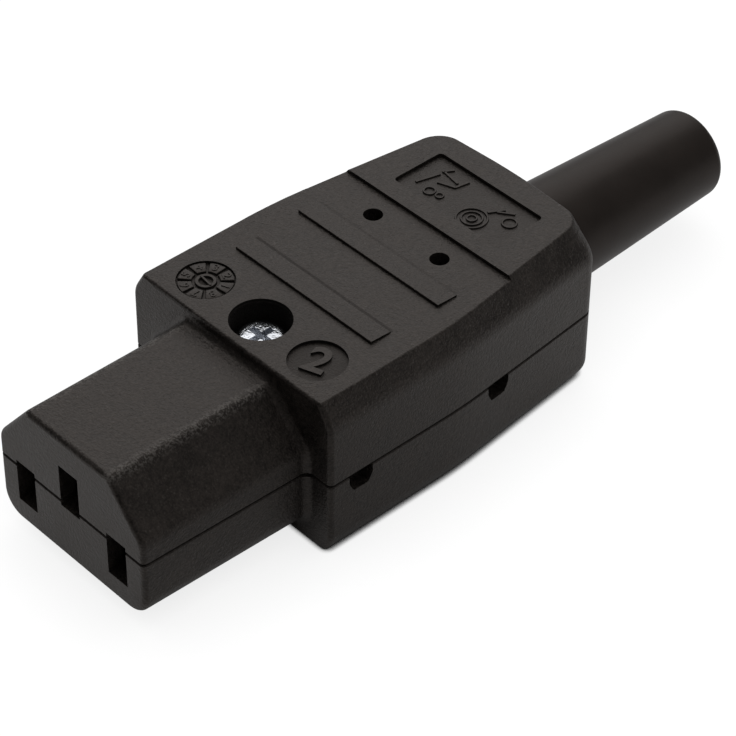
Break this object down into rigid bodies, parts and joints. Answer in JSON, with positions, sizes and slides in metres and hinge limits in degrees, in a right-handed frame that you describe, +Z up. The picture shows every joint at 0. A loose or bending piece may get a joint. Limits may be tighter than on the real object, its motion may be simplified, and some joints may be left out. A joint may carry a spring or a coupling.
{
  "type": "c13 power connector",
  "caption": "Rewireable appliance power connector with a slotted nose, screwed half shells, grip ridges and a tapered bend sleeve for the cord.",
  "frame": {"origin": "centre of the mating face, on the plane where the shells meet", "axes": "+Y from the nose to the cord sleeve, +Z up through the cover screw, +X to the right seen from the mating face"},
  "size_m": [0.0298, 0.0883, 0.0195],
  "materials": {
    "shell_plastic": "charcoal black moulded plastic with a fine spark-eroded grain",
    "sleeve_plastic": "smooth satin black soft plastic",
    "zinc_steel": "bright zinc plate",
    "brass": "plain brass",
    "tinned_brass": "tin plate on brass"
  },
  "bodies": {
    "root": {"upper_shell": "shell_plastic", "lower_shell": "shell_plastic", "bend_sleeve": "sleeve_plastic", "cord_clamp_bar": "shell_plastic", "cover_screw": "zinc_steel", "cover_nut": "zinc_steel", "left_clamp_screw": "zinc_steel", "right_clamp_screw": "zinc_steel", "line_contact": "tinned_brass", "neutral_contact": "tinned_brass", "earth_contact": "tinned_brass", "line_terminal_nut": "brass", "line_pressure_plate": "zinc_steel", "line_terminal_screw": "zinc_steel", "neutral_terminal_nut": "brass", "neutral_pressure_plate": "zinc_steel", "neutral_terminal_screw": "zinc_steel", "earth_terminal_nut": "brass", "earth_pressure_plate": "zinc_steel", "earth_terminal_screw": "zinc_steel"}
  },
  "joints": []
}
